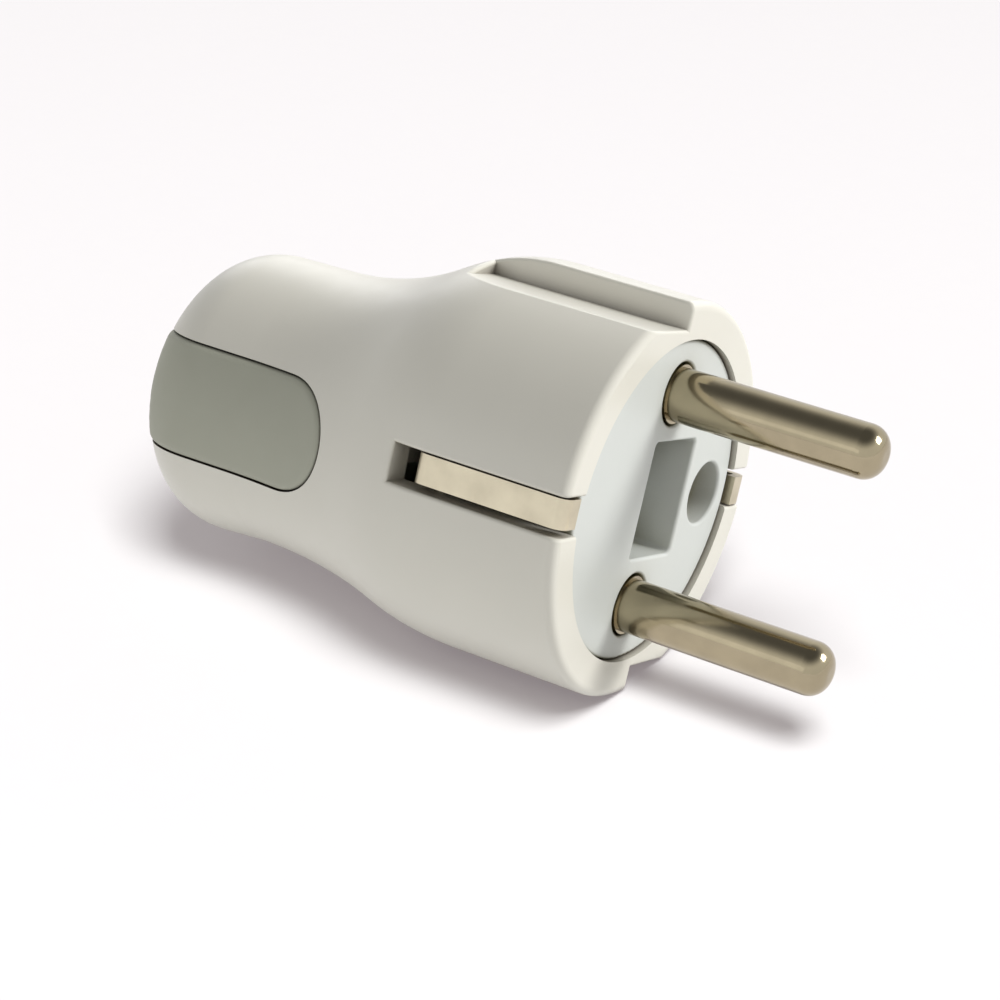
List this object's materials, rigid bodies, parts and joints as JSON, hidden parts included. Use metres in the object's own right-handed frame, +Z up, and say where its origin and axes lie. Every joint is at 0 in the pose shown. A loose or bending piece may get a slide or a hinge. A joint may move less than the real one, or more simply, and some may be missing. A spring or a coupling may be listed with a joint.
{
  "type": "earthed mains plug",
  "caption": "Straight earthed mains plug: round head with guide notches and side earth strips, contact pins, an earth hole, and a waisted handle with soft grip inlays and a cable inlet.",
  "frame": {"origin": "middle of the engagement face, halfway between the pins, in the plane of the rim's front edge", "axes": "+X out of the face along the pins; +Z up, away from the surface that the plug lies on with its lower guide notch; +Y to the earth hole's side. The pins' plane leans about X by the angle of that rest."},
  "size_m": [0.0671, 0.0356, 0.0348],
  "materials": {
    "enclosure_white": "moulded, satin gloss",
    "face_white": "moulded, matte",
    "grip_grey": "soft touch",
    "pin_nickel": "nickel plated, turned",
    "earth_strip": "tin plated, stamped",
    "screw_steel": "zinc plated"
  },
  "bodies": {
    "root": {"enclosure": "enclosure_white", "contact_carrier": "face_white", "grip_pad_left": "grip_grey", "grip_pad_right": "grip_grey", "line_pin_upper": "pin_nickel", "line_pin_lower": "pin_nickel", "earth_bracket": "earth_strip", "earth_socket": "earth_strip", "earth_washer": "screw_steel", "earth_screw": "screw_steel", "fixing_screw": "screw_steel", "terminal_screws": "screw_steel", "clamp_screws": "screw_steel", "cable_saddle": "face_white"}
  },
  "joints": []
}
